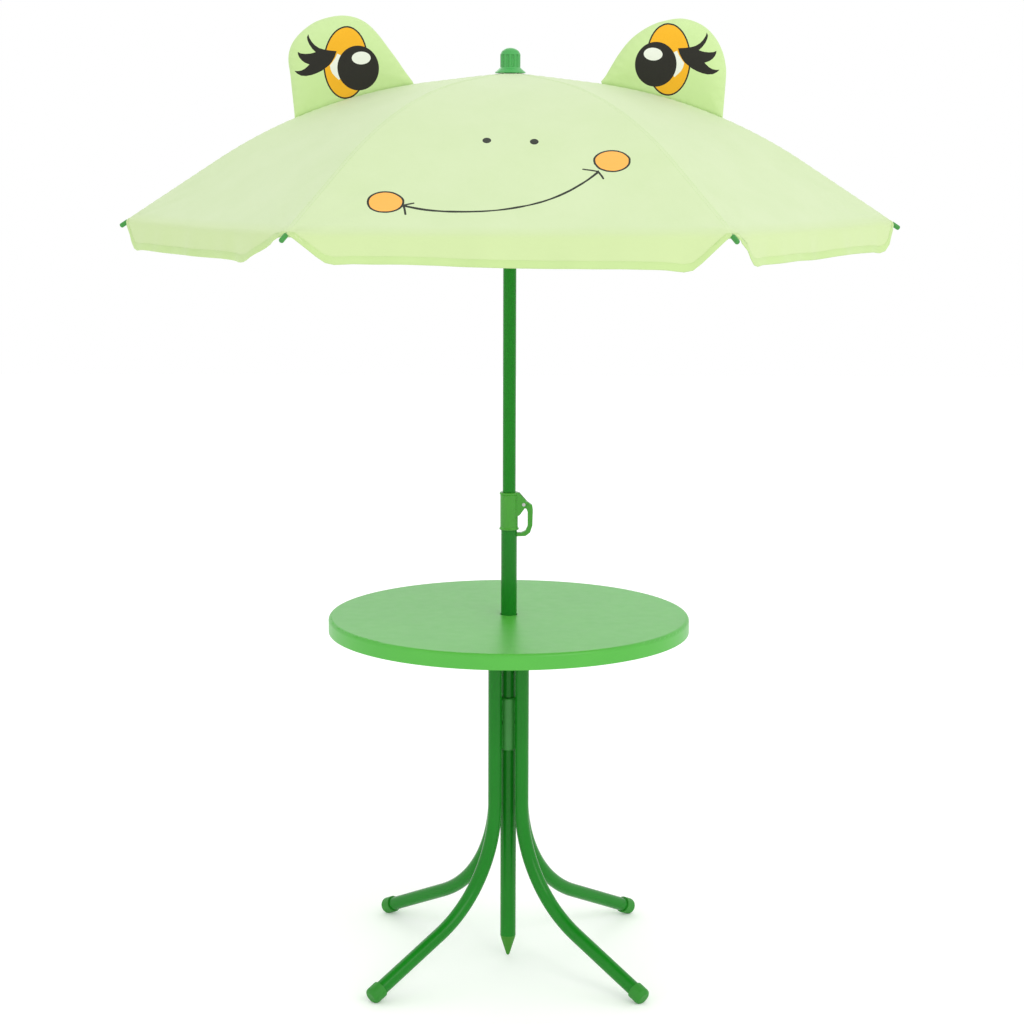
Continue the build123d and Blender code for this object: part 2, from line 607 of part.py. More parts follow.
# ---------------------------------------------------------------- ears
EAR_LIFT = 1.6
EAR_FROM, EAR_TO = 122.0, 289.0
ear_outline = [(EAR_FROM, ridge(EAR_FROM) + EAR_LIFT), (137, 1231), (151, 1253.5), (164, 1271), (180, 1291),
               (202, 1305.5), (226, 1309), (251, 1304.5), (273, 1294), (288, 1279), (295.5, 1256),
               (294.5, 1232), (EAR_TO, ridge(EAR_TO) + EAR_LIFT)]
for name, angle in (("ear_right", 0), ("ear_left", 180)):
    with BuildPart() as ear:
        with BuildSketch(out_and_up(angle)):
            with BuildLine():
                Spline(*ear_outline)
                Line(ear_outline[-1], (205, ridge(205) + EAR_LIFT + 1))
                Line((205, ridge(205) + EAR_LIFT + 1), ear_outline[0])
            make_face()
        extrude(amount=EAR_HALF_THICK, both=True)
    save(ear, name)
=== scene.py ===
"""Visual model of the children's parasol with its table stand.

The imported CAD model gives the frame. Its hard parts keep their shapes and get their materials here. The canopy's
panels, the padded ears, the seam tapes, hems and stitches are built here. Metres, +Z up, front is -Y.
"""
import json
from math import asin, atan2, cos, exp, hypot, pi, radians, sin, sqrt, tan

import bpy
from mathutils import Matrix, Vector, geometry, noise


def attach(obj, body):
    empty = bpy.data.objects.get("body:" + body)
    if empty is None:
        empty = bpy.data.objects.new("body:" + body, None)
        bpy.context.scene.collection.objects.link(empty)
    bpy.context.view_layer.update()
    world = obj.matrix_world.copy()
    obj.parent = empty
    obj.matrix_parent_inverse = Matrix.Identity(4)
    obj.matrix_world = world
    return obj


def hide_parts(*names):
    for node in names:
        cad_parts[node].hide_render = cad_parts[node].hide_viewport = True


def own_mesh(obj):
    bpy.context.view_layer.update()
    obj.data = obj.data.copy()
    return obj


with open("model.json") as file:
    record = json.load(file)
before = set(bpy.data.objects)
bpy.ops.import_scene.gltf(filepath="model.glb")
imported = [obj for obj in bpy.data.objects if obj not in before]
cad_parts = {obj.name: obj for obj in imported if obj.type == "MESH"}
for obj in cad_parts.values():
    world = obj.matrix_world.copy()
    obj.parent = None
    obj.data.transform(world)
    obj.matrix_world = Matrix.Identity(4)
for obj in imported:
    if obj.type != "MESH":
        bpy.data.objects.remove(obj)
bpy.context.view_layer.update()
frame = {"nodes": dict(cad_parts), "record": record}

MM = 0.001
scene = bpy.context.scene

# ---------------------------------------------------------------- canopy dimensions, as in the CAD
HALF = radians(30)                          # half a panel's angle at the mast
CROWN_R, CROWN_Z = 12 * MM, 1236 * MM       # where the ridge over a rib begins
SLOPE_IN, SLOPE_OUT = radians(7), radians(33)
ARC_FROM, ARC_R = 110 * MM, 675 * MM
ARC_START_Z = CROWN_Z - (ARC_FROM - CROWN_R) * tan(SLOPE_IN)
ARC_TO = ARC_FROM + ARC_R * (sin(SLOPE_OUT) - sin(SLOPE_IN))
ARC_END_Z = ARC_START_Z - ARC_R * (cos(SLOPE_IN) - cos(SLOPE_OUT))
CORNER_R = 514 * MM                         # the fabric's corner on a rib
PANEL_FROM = 15.7 * MM                      # inner edge of a panel, measured along its ribs
CLOTH = 0.8 * MM                            # thickness of the fabric as modelled
PANEL_ANGLES = [radians(30 + 60 * i) for i in range(6)]
FRONT_PANEL, LEFT_FRONT_PANEL = 5, 4        # numbered from 1, as the CAD nodes are


def ridge(r):
    """Height of the fabric's outer face over a rib, at this distance from the mast."""
    if r <= ARC_FROM:
        return CROWN_Z - (r - CROWN_R) * tan(SLOPE_IN)
    if r <= ARC_TO:
        lean = sin(SLOPE_IN) + (r - ARC_FROM) / ARC_R
        return ARC_START_Z - ARC_R * (cos(SLOPE_IN) - sqrt(1 - lean * lean))
    return ARC_END_Z - (r - ARC_TO) * tan(SLOPE_OUT)


def ridge_slope(r):
    if r <= ARC_FROM:
        return SLOPE_IN
    if r <= ARC_TO:
        return asin(sin(SLOPE_IN) + (r - ARC_FROM) / ARC_R)
    return SLOPE_OUT


def smooth(t):
    t = min(1.0, max(0.0, t))
    return t * t * (3 - 2 * t)


# ---------------------------------------------------------------- camera and light
CAMERA_AT = Vector((4.0 * MM, -3.0431, 1.1436))
CAMERA_DOWN, CAMERA_ROLL = 0.1638, 0.003    # radians

camera = bpy.data.objects.new("camera", bpy.data.cameras.new("camera"))
scene.collection.objects.link(camera)
camera.data.sensor_width = 36
camera.data.lens = 78.57
camera.matrix_world = (Matrix.Translation(CAMERA_AT) @ Matrix.Rotation(pi / 2 - CAMERA_DOWN, 4, "X")
                       @ Matrix.Rotation(CAMERA_ROLL, 4, "Z"))
scene.camera = camera
scene.view_settings.view_transform = "Standard"


def softbox(name, at, aim, size, power, colour=(1, 1, 1)):
    light = bpy.data.lights.new(name, "AREA")
    light.shape, light.size, light.size_y = "RECTANGLE", size[0], size[1]
    light.energy, light.color = power, colour
    lamp = bpy.data.objects.new(name, light)
    scene.collection.objects.link(lamp)
    facing = (Vector(aim) - Vector(at)).to_track_quat("-Z", "Y").to_matrix().to_4x4()
    lamp.matrix_world = Matrix.Translation(at) @ facing


softbox("key_light", (2.2, -2.8, 3.2), (0, 0, 0.8), (2.2, 2.2), 38, (1.0, 0.95, 0.96))
softbox("fill_light", (-3.0, -2.4, 1.7), (0, 0, 0.7), (2.4, 2.4), 5)
softbox("back_light", (-0.6, 3.2, 2.6), (0, 0, 0.8), (3.0, 1.6), 14)

world = bpy.data.worlds.new("studio")
scene.world = world
world.use_nodes = True
world.node_tree.nodes["Background"].inputs["Color"].default_value = (1, 1, 1, 1)
world.node_tree.nodes["Background"].inputs["Strength"].default_value = 1.0


# ---------------------------------------------------------------- material helpers
def rgb(red, green, blue):
    """A display colour, 0 to 255, as linear RGBA."""
    return tuple((c / 255 / 12.92 if c / 255 <= 0.04045 else ((c / 255 + 0.055) / 1.055) ** 2.4)
                 for c in (red, green, blue)) + (1.0,)


class Paint:
    """One node-based material, with short calls that add its nodes."""

    def __init__(self, name, roughness=0.5, **fixed):
        self.material = bpy.data.materials.new(name)
        self.material.use_nodes = True
        self.nodes, self.links = self.material.node_tree.nodes, self.material.node_tree.links
        self.shader = self.nodes["Principled BSDF"]
        self.put(self.shader.inputs["Roughness"], roughness)
        for socket, value in fixed.items():
            self.shader.inputs[socket.replace("_", " ")].default_value = value

    def put(self, socket, value):
        if isinstance(value, bpy.types.NodeSocket):
            self.links.new(value, socket)
        else:
            socket.default_value = value

    def calc(self, operation, *values, clamp=False):
        node = self.nodes.new("ShaderNodeMath")
        node.operation, node.use_clamp = operation, clamp
        for socket, value in zip(node.inputs, values):
            self.put(socket, value)
        return node.outputs[0]

    def highest(self, values):
        result = values[0]
        for value in values[1:]:
            result = self.calc("MAXIMUM", result, value)
        return result

    def mix(self, share, a, b):
        node = self.nodes.new("ShaderNodeMix")
        node.data_type = "RGBA"
        self.put(node.inputs["Factor"], share)
        self.put([s for s in node.inputs if s.name == "A" and s.type == "RGBA"][0], a)
        self.put([s for s in node.inputs if s.name == "B" and s.type == "RGBA"][0], b)
        return [s for s in node.outputs if s.type == "RGBA"][0]

    def place(self):
        """The point in the object's own coordinates."""
        return self.nodes.new("ShaderNodeTexCoord").outputs["Object"]

    def cloth(self):
        """The point on the flat cloth: across, along, in metres."""
        node = self.nodes.new("ShaderNodeUVMap")
        node.uv_map = "cloth"
        return node.outputs[0]

    def split(self, vector):
        node = self.nodes.new("ShaderNodeSeparateXYZ")
        self.put(node.inputs[0], vector)
        return node.outputs[0], node.outputs[1]

    def noise(self, where, scale, detail=3.0, roughness=0.55):
        node = self.nodes.new("ShaderNodeTexNoise")
        self.put(node.inputs["Vector"], where)
        for socket, value in (("Scale", scale), ("Detail", detail), ("Roughness", roughness)):
            node.inputs[socket].default_value = value
        return node.outputs["Fac"]

    def ramp(self, value, low, high, to_low=0.0, to_high=1.0):
        node = self.nodes.new("ShaderNodeMapRange")
        self.put(node.inputs["Value"], value)
        for socket, number in (("From Min", low), ("From Max", high), ("To Min", to_low), ("To Max", to_high)):
            node.inputs[socket].default_value = number
        return node.outputs["Result"]

    def bump(self, *layers):
        """Adds bumps, each a height from 0 to 1 with its depth in metres."""
        normal = None
        for height, depth in layers:
            node = self.nodes.new("ShaderNodeBump")
            node.inputs["Strength"].default_value = 1.0
            node.inputs["Distance"].default_value = depth
            self.put(node.inputs["Height"], height)
            if normal is not None:
                self.put(node.inputs["Normal"], normal)
            normal = node.outputs["Normal"]
        self.put(self.shader.inputs["Normal"], normal)

    def colour(self, value):
        self.put(self.shader.inputs["Base Color"], value)


def hard_paint(name, base, dark, roughness, grain, depth, shine=0.5):
    """Powder coat, enamel or moulded plastic: two close shades, uneven gloss and a fine surface grain."""
    paint = Paint(name)
    paint.shader.inputs["Specular IOR Level"].default_value = shine
    where = paint.place()
    cloudy = paint.noise(where, 14, 4)
    fine = paint.noise(where, grain, 2)
    paint.colour(paint.mix(paint.ramp(cloudy, 0.35, 0.65), base, dark))
    paint.put(paint.shader.inputs["Roughness"],
              paint.ramp(paint.noise(where, 60, 4), 0.3, 0.7, roughness - 0.015, roughness + 0.02))
    paint.bump((fine, depth))
    return paint.material


def steel_paint(name, base, roughness):
    paint = Paint(name, Metallic=1.0)
    where = paint.place()
    paint.colour(paint.mix(paint.noise(where, 180, 3), base, tuple(c * 0.72 for c in base[:3]) + (1.0,)))
    uneven = paint.ramp(paint.noise(where, 420, 3), 0.3, 0.7, roughness, roughness + 0.15)
    paint.put(paint.shader.inputs["Roughness"], uneven)
    paint.bump((paint.noise(where, 900, 2), 0.04 * MM))
    return paint.material


THREADS_PER_METRE = 1150
WEAVE_DEPTH = 0.05 * MM


SKIRT_FROM = 482 * MM                       # where a panel turns down into its skirt, along the cloth


def fabric_paint(name, base, shade, skirt=None):
    """Woven polyester: plain weave in the cloth's own coordinates, soft blotches and a little sheen; given a skirt
    colour, the skirt gets painted shade.
    """
    paint = Paint(name, roughness=0.82)
    paint.shader.inputs["Sheen Weight"].default_value = 0.18
    paint.shader.inputs["Sheen Roughness"].default_value = 0.5
    paint.shader.inputs["Specular IOR Level"].default_value = 0.25
    across, along = paint.split(paint.cloth())
    warp = paint.calc("SINE", paint.calc("MULTIPLY", across, 2 * pi * THREADS_PER_METRE))
    weft = paint.calc("SINE", paint.calc("MULTIPLY", along, 2 * pi * THREADS_PER_METRE))
    weave = paint.ramp(paint.calc("MULTIPLY", warp, weft), -1, 1)
    blotch = paint.noise(paint.cloth(), 9, 4, 0.6)
    slub = paint.noise(paint.cloth(), 700, 2)
    paint.ground = paint.mix(paint.calc("MULTIPLY", paint.ramp(blotch, 0.3, 0.72), 0.55), base, shade)
    paint.ground = paint.mix(paint.ramp(weave, 0, 1, 0.0, 0.07), paint.ground, shade)
    # Painted shade: the skirt, which hangs steeper than the panel, is mixed toward a darker green below where the
    # panel turns down.
    if skirt is not None:
        paint.ground = paint.mix(paint.ramp(along, SKIRT_FROM - 12 * MM, SKIRT_FROM + 10 * MM), paint.ground, skirt)
    paint.colour(paint.ground)
    paint.bump((weave, WEAVE_DEPTH), (slub, WEAVE_DEPTH), (paint.noise(paint.cloth(), 30, 3), 0.5 * MM))
    return paint


# ---------------------------------------------------------------- prints on the front panel
def ellipse(paint, across, along, centre, radii):
    """Squared distance from the centre, 1 on the ellipse."""
    dx = paint.calc("DIVIDE", paint.calc("SUBTRACT", across, centre[0]), radii[0])
    dy = paint.calc("DIVIDE", paint.calc("SUBTRACT", along, centre[1]), radii[1])
    return paint.calc("ADD", paint.calc("MULTIPLY", dx, dx), paint.calc("MULTIPLY", dy, dy))


def stroke(paint, across, along, start, end, width):
    """1 on a straight pen stroke between two points."""
    run = (end[0] - start[0], end[1] - start[1])
    length_squared = run[0] ** 2 + run[1] ** 2
    px, py = paint.calc("SUBTRACT", across, start[0]), paint.calc("SUBTRACT", along, start[1])
    dot = paint.calc("ADD", paint.calc("MULTIPLY", px, run[0]), paint.calc("MULTIPLY", py, run[1]))
    share = paint.calc("DIVIDE", dot, length_squared, clamp=True)
    dx = paint.calc("SUBTRACT", px, paint.calc("MULTIPLY", share, run[0]))
    dy = paint.calc("SUBTRACT", py, paint.calc("MULTIPLY", share, run[1]))
    distance = paint.calc("SQRT", paint.calc("ADD", paint.calc("MULTIPLY", dx, dx), paint.calc("MULTIPLY", dy, dy)))
    return paint.calc("LESS_THAN", distance, width / 2)


CHEEKS = [((-145.4 * MM, 426.7 * MM), 22.2 * MM, 20.4 * MM), ((122.4 * MM, 346.6 * MM), 22.4 * MM, 22.0 * MM)]
NOSTRILS = [(-27.9 * MM, 301.3 * MM), (29.6 * MM, 304.1 * MM)]
SMILE_FROM, SMILE_TO = -123.5 * MM, 106.0 * MM
SMILE_CURVE = (0.4376, -0.2297, -2.6467, -9.3586, -43.3488)       # along = a0 + a1 x + a2 x^2 ..., metres
SMILE_ENDS = [((-124.5 * MM, 432.5 * MM), (-112.6 * MM, 427.8 * MM)),
              ((-124.5 * MM, 431.5 * MM), (-121.2 * MM, 448.3 * MM)),
              ((105.5 * MM, 366.5 * MM), (87.7 * MM, 362.4 * MM)),
              ((105.5 * MM, 366.5 * MM), (111.1 * MM, 380.5 * MM))]
PEN = 3.3 * MM


def face_print(paint):
    """The smile, cheeks and nostrils, printed in the panel's flat coordinates."""
    across, along = paint.split(paint.cloth())
    wobble = paint.calc("MULTIPLY", paint.calc("SUBTRACT", paint.noise(paint.cloth(), 55, 2), 0.5), 2.2 * MM)
    x, y = paint.calc("ADD", across, wobble), paint.calc("SUBTRACT", along, wobble)
    ink, fill = [], []
    for centre, rx, ry in CHEEKS:
        fill.append(paint.calc("LESS_THAN", ellipse(paint, x, y, centre, (rx, ry)), 1))
        ring = ellipse(paint, x, y, centre, (rx - PEN * 0.8, ry - PEN * 0.8))
        ink.append(paint.calc("MULTIPLY", fill[-1], paint.calc("GREATER_THAN", ring, 1)))
    for centre in NOSTRILS:
        ink.append(paint.calc("LESS_THAN", ellipse(paint, across, along, centre, (5.3 * MM, 6.4 * MM)), 1))
    curve, lean = 0.0, 0.0
    for power in range(len(SMILE_CURVE) - 1, -1, -1):
        curve = paint.calc("ADD", paint.calc("MULTIPLY", curve, across), SMILE_CURVE[power])
        if power:
            lean = paint.calc("ADD", paint.calc("MULTIPLY", lean, across), power * SMILE_CURVE[power])
    away = paint.calc("ABSOLUTE", paint.calc("SUBTRACT", along, curve))
    tilt = paint.calc("SQRT", paint.calc("ADD", 1.0, paint.calc("MULTIPLY", lean, lean)))
    pen = paint.ramp(paint.noise(paint.cloth(), 40, 2), 0.3, 0.7, 0.38 * PEN, 0.6 * PEN)
    smile = paint.calc("LESS_THAN", paint.calc("DIVIDE", away, tilt), pen)
    smile = paint.calc("MULTIPLY", smile, paint.calc("GREATER_THAN", across, SMILE_FROM))
    ink.append(paint.calc("MULTIPLY", smile, paint.calc("LESS_THAN", across, SMILE_TO)))
    ink += [stroke(paint, x, y, start, end, PEN * 0.8) for start, end in SMILE_ENDS]
    cheeks = paint.mix(paint.highest(fill), paint.ground, rgb(255, 181, 82))
    cover = paint.ramp(paint.noise(paint.cloth(), 300, 2), 0.2, 0.8, 0.86, 1.0)
    inked = paint.mix(cover, rgb(66, 74, 60), rgb(40, 46, 36))
    paint.colour(paint.mix(paint.highest(ink), cheeks, inked))


FABRIC_BASE, FABRIC_SHADE = rgb(206, 223, 178), rgb(196, 217, 164)
# Painted shade for the steeper hanging skirts, mixed into the panel fabric by fabric_paint.
SKIRT_PAINTED_SHADE = rgb(199, 219, 160)
panel_cloth = fabric_paint("panel_fabric", FABRIC_BASE, FABRIC_SHADE, SKIRT_PAINTED_SHADE)
front_cloth = fabric_paint("front_panel_fabric", FABRIC_BASE, FABRIC_SHADE, SKIRT_PAINTED_SHADE)
face_print(front_cloth)
hem_cloth = fabric_paint("hem_fabric", rgb(194, 219, 152), rgb(182, 211, 136))
tape_cloth = fabric_paint("tape_fabric", rgb(200, 222, 166), rgb(188, 214, 148))
ear_cloth = fabric_paint("ear_fabric", rgb(200, 226, 162), rgb(192, 220, 148))


def printed(name, base, shade):
    """Ear fabric under solid ink."""
    return fabric_paint(name, base, shade).material


ear_materials = [ear_cloth.material, printed("ear_ink_orange", rgb(240, 180, 38), rgb(232, 168, 28)),
                 printed("ear_ink_black", rgb(42, 41, 36), rgb(34, 33, 28)),
                 printed("ear_ink_white", rgb(233, 236, 226), rgb(222, 228, 214))]

thread = Paint("thread", roughness=0.7)
thread.colour(thread.mix(thread.noise(thread.place(), 900, 2), rgb(190, 220, 150), rgb(168, 204, 124)))
thread.bump((thread.noise(thread.place(), 2500, 2), 0.05 * MM))

hard = {
    "top_plastic": hard_paint("top_plastic", rgb(82, 178, 64), rgb(79, 175, 62), 0.36, 1100, 0.003 * MM, 0.38),
    "pole_paint": hard_paint("pole_paint", rgb(16, 128, 18), rgb(14, 124, 16), 0.22, 1000, 0.0015 * MM, 0.22),
    "leg_paint": hard_paint("leg_paint", rgb(22, 126, 28), rgb(20, 122, 26), 0.22, 1000, 0.0015 * MM, 0.22),
    "green_plastic": hard_paint("green_plastic", rgb(70, 158, 46), rgb(66, 154, 43), 0.36, 1100, 0.006 * MM, 0.4),
    "cap_plastic": hard_paint("cap_plastic", rgb(46, 138, 42), rgb(42, 132, 38), 0.5, 1000, 0.008 * MM, 0.3),
    "spike_plastic": hard_paint("spike_plastic", rgb(60, 136, 32), rgb(54, 128, 29), 0.48, 1000, 0.008 * MM, 0.3),
    "rib_steel": hard_paint("rib_steel", rgb(150, 178, 140), rgb(138, 168, 128), 0.35, 1400, 0.006 * MM),
    "bare_steel": steel_paint("bare_steel", rgb(200, 200, 196), 0.28),
    "hub_plastic": hard_paint("hub_plastic", rgb(56, 146, 58), rgb(48, 136, 50), 0.42, 1100, 0.01 * MM),
}
node_slot = {row["node"]: row["material_slot"] for row in frame["record"]["subparts"]}
for node, obj in frame["nodes"].items():
    material = hard.get(node_slot[node])
    if material is not None:
        obj.data.materials.clear()
        obj.data.materials.append(material)

for number in range(1, 7):
    frame["nodes"][f"rib_tip_{number}"].data.materials[0] = hard["hub_plastic"]
finial_paint = hard_paint("finial_plastic", rgb(72, 170, 84), rgb(64, 160, 76), 0.3, 1300, 0.02 * MM)
frame["nodes"]["finial"].data.materials[0] = finial_paint

# ---------------------------------------------------------------- canopy surface
SKIRT_LENGTH = 46 * MM
CORNER_DROP = 6 * MM
SKIRT_INSET = 43 * MM
SKIRT_TURN = 16 * MM                        # how far down the skirt the fabric finishes bending
SKIRT_ANGLE = radians(83)
SAG = 7 * MM
PUCKER_PITCH = 11 * MM


def skirt_point(down):
    """Distance out and down from the hem line, this far along the skirt's fabric."""
    steps = 12
    out = drop = 0.0
    for step in range(steps):
        t = down * (step + 0.5) / steps
        angle = SLOPE_OUT + (SKIRT_ANGLE - SLOPE_OUT) * smooth(t / SKIRT_TURN)
        out += cos(angle) * down / steps
        drop += sin(angle) * down / steps
    return out, drop


def skirt_drop(number, u):
    """How far the skirt hangs along its fabric, at this place across the panel."""
    half = CORNER_R * sin(HALF)
    inset = 90 * MM if number == LEFT_FRONT_PANEL and u > 0 else SKIRT_INSET
    share = (1 - abs(u)) * half / inset
    rounded = (1 + share - sqrt((1 - share) ** 2 + 0.02)) / 2
    wave = 1.6 * MM * noise.noise(Vector((u * 3.1, number * 7.3, 0.4)))
    dip = 2.2 * MM * exp(-((share - 1.25) / 0.35) ** 2)
    lean = 4 * MM * u if number == FRONT_PANEL else 0.0
    long = SKIRT_LENGTH - CORNER_DROP - 2 * MM
    return CORNER_DROP + long * max(0.0, rounded) + (wave + lean) * min(1.0, share) + dip


def relief(number, u, r, along):
    """How far the fabric stands off its smooth shape: sag, folds, pucker at the seams."""
    half = r * sin(HALF)
    edge = (1 - abs(u)) * half
    x = u * half
    side = 1 if u > 0 else -1
    sag = -SAG * (1 - u * u) * (r / CORNER_R) ** 0.7 * (1 - 0.62 * smooth((r / CORNER_R - 0.5) / 0.5))
    seam = -1.7 * MM * exp(-edge / (2.4 * MM))
    wander = noise.noise(Vector((along * 40, number * 3.0 + side, 1.7)))
    pucker = 0.3 * MM * exp(-edge / (9 * MM)) * sin(2 * pi * along / PUCKER_PITCH + 2.5 * wander)
    calm = edge / (edge + 18 * MM)
    folds = 1.5 * MM * noise.noise(Vector((x * 7 + number, along * 3.5, number * 5.1))) * calm
    folds += 0.5 * MM * noise.noise(Vector((x * 24, along * 14 + number, number * 2.3))) * calm
    corner_away = hypot(edge, max(0.0, CORNER_R - r) + 10 * MM)
    fan = atan2(edge, max(0.0, CORNER_R - r) + 12 * MM)
    pull = 1.0 * MM * sin(fan * 15 + number + side) * exp(-corner_away / (75 * MM)) * smooth(edge / (14 * MM))
    return sag + seam + pucker + folds + pull


RIB_LENGTHS = [0.0]
RIB_STEP = 1 * MM
while PANEL_FROM + (len(RIB_LENGTHS) - 1) * RIB_STEP < CORNER_R + RIB_STEP:
    at = PANEL_FROM + (len(RIB_LENGTHS) - 1) * RIB_STEP
    RIB_LENGTHS.append(RIB_LENGTHS[-1] + hypot(RIB_STEP * cos(HALF), ridge(at) - ridge(at + RIB_STEP)))


def along_panel(r):
    """Length of fabric from a panel's inner edge to this distance from the mast, down its middle."""
    place = max(0.0, (r - PANEL_FROM) / RIB_STEP)
    low = min(int(place), len(RIB_LENGTHS) - 2)
    return RIB_LENGTHS[low] + (place - low) * (RIB_LENGTHS[low + 1] - RIB_LENGTHS[low])


def canopy_point(number, u, r, down=0.0, inward=0.0):
    """A point of a panel. u runs from -1 to 1 between its ribs, r is the distance along the ribs, down is how far
    down the skirt's fabric, and inward is the depth under the outer face."""
    angle = PANEL_ANGLES[number - 1]
    along = along_panel(r) + down
    slope = ridge_slope(r)
    out, z, across = r * cos(HALF), ridge(r), u * r * sin(HALF)
    lift = relief(number, u, r, along) - inward
    if down > 0:
        extra_out, extra_drop = skirt_point(down)
        out, z = out + extra_out, z - extra_drop
        slope += (SKIRT_ANGLE - SLOPE_OUT) * smooth(down / SKIRT_TURN)
        flutter = (down / SKIRT_LENGTH) ** 1.2
        swing = 3.2 * sin(9.5 * u + number * 1.9) + 2.0 * sin(17 * u + number * 0.7) + 1.2 * sin(31 * u + number)
        lift += flutter * swing * MM * smooth((1 - abs(u)) * 9)
    out += lift * sin(slope)
    z += lift * cos(slope)
    return Vector((out * cos(angle) - across * sin(angle), out * sin(angle) + across * cos(angle), z))


def cloth_place(u, r, down=0.0):
    return (u * r * sin(HALF), along_panel(r) + down)


def mesh_object(name, points, faces, materials, places=None):
    """Makes a mesh object, with its flat cloth coordinates as a UV map."""
    mesh = bpy.data.meshes.new(name)
    mesh.from_pydata(points, [], faces)
    mesh.update()
    for material in materials:
        mesh.materials.append(material)
    if places is not None:
        layer = mesh.uv_layers.new(name="cloth")
        for loop in mesh.loops:
            layer.data[loop.index].uv = places[loop.vertex_index]
    for face in mesh.polygons:
        face.use_smooth = True
    obj = bpy.data.objects.new(name, mesh)
    scene.collection.objects.link(obj)
    return obj


def grid_faces(rows, columns):
    return [(i * columns + j, i * columns + j + 1, (i + 1) * columns + j + 1, (i + 1) * columns + j)
            for i in range(rows - 1) for j in range(columns - 1)]


def thicken(obj, thickness):
    """Gives a sheet its thickness and keeps the result in the mesh."""
    solid = obj.modifiers.new("thickness", "SOLIDIFY")
    solid.thickness, solid.offset, solid.use_rim = thickness, -1.0, True
    applied = bpy.data.meshes.new_from_object(obj.evaluated_get(bpy.context.evaluated_depsgraph_get()))
    obj.modifiers.clear()
    obj.data = applied
    obj.data.name = obj.name


EDGE_STEPS = [0.0, 0.003, 0.0065, 0.011, 0.017, 0.025, 0.036, 0.05]
CORE_COLUMNS = 46
columns = [-1 + e for e in EDGE_STEPS]
columns += [(-1 + EDGE_STEPS[-1]) * (1 - 2 * k / CORE_COLUMNS) for k in range(1, CORE_COLUMNS)]
columns += [1 - e for e in reversed(EDGE_STEPS)]
ROW_PITCH = 2.75 * MM
RADIAL_ROWS = int((CORNER_R - PANEL_FROM) / ROW_PITCH)
SKIRT_ROWS = 16


def gather(obj):
    """Gives a panel's piece a mesh of its own."""
    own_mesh(obj)


HEM_WIDTH = 9 * MM
panels = {}
for number in range(1, 7):
    points, places = [], []
    for row in range(RADIAL_ROWS + 1):
        r = PANEL_FROM + (CORNER_R - PANEL_FROM) * row / RADIAL_ROWS
        points += [canopy_point(number, u, r) for u in columns]
        places += [cloth_place(u, r) for u in columns]
    for row in range(1, SKIRT_ROWS + 1):
        for u in columns:
            down = skirt_drop(number, u) * row / SKIRT_ROWS
            points.append(canopy_point(number, u, CORNER_R, down))
            places.append(cloth_place(u, CORNER_R, down))
    cloth = front_cloth if number == FRONT_PANEL else panel_cloth
    faces = grid_faces(RADIAL_ROWS + SKIRT_ROWS + 1, len(columns))
    panel = mesh_object(f"panel_cloth_{number}", points, [f[::-1] for f in faces], [cloth.material], places)
    thicken(panel, CLOTH)
    panels[number] = panel

    # The hem: the skirt's lower edge turned up inside and sewn, so it stands a little thicker.
    points, places = [], []
    profile = [(HEM_WIDTH, -0.05), (HEM_WIDTH - 0.6 * MM, -0.5), (1.2 * MM, -0.55), (0.2 * MM, -0.35),
               (-0.5 * MM, 0.3),
               (0.2 * MM, 1.0), (1.2 * MM, 1.25), (HEM_WIDTH - 0.6 * MM, 1.2), (HEM_WIDTH, 0.85)]
    for u in columns:
        full = skirt_drop(number, u)
        for up, depth in profile:
            squeeze = min(1.0, full / (HEM_WIDTH + 3 * MM))
            points.append(canopy_point(number, u, CORNER_R, full - up * squeeze, depth * MM))
            places.append(cloth_place(u, CORNER_R, full - up))
    hem = mesh_object(f"hem_{number}", points, grid_faces(len(columns), len(profile)), [hem_cloth.material], places)
    panels[number, "hem"] = hem

# ---------------------------------------------------------------- seams over the ribs
TAPE_HALF = 13 * MM
TAPE_DEPTH = CLOTH + 0.2 * MM
TAPE_FROM, TAPE_TO = 32 * MM, 505 * MM
TAPE_STEPS = [TAPE_HALF * k / 5 for k in range(5, 0, -1)]
TAPE_ROWS = 110
for rib in range(1, 7):
    before, after = (rib - 2) % 6 + 1, rib
    points, places = [], []
    for row in range(TAPE_ROWS + 1):
        r = TAPE_FROM + (TAPE_TO - TAPE_FROM) * row / TAPE_ROWS
        half = r * sin(HALF)
        line = [canopy_point(before, 1 - e / half, r, inward=TAPE_DEPTH) for e in TAPE_STEPS]
        edges = canopy_point(before, 1, r, inward=TAPE_DEPTH), canopy_point(after, -1, r, inward=TAPE_DEPTH)
        line.append((edges[0] + edges[1]) / 2)
        line += [canopy_point(after, -1 + e / half, r, inward=TAPE_DEPTH) for e in reversed(TAPE_STEPS)]
        points += line
        places += [((k - len(TAPE_STEPS)) * TAPE_HALF / 5, along_panel(r)) for k in range(len(line))]
    faces = [f[::-1] for f in grid_faces(TAPE_ROWS + 1, 2 * len(TAPE_STEPS) + 1)]
    tape = mesh_object(f"seam_tape_{rib}", points, faces, [tape_cloth.material], places)
    thicken(tape, 0.35 * MM)
    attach(tape, f"rib_{rib}")


# ---------------------------------------------------------------- stitches
def stitch(points, faces, start, end, out):
    """One stitch: a short rounded bar of thread lying on the cloth from start to end."""
    run = end - start
    side = run.cross(out).normalized()
    ring = [(0.0, 0.19), (0.16, 0.05), (0.16, -0.12), (-0.16, -0.12), (-0.16, 0.05)]
    base = len(points)
    for share, size in ((0.0, 0.35), (0.2, 1.0), (0.8, 1.0), (1.0, 0.35)):
        for across, up in ring:
            points.append(start + run * share + (side * across + out * up) * size * MM)
    n = len(ring)
    for k in range(3):
        for j in range(n):
            a, b = base + k * n + j, base + k * n + (j + 1) % n
            faces.append((a, b, b + n, a + n))
    faces.append(tuple(base + j for j in reversed(range(n))))
    faces.append(tuple(base + 3 * n + j for j in range(n)))


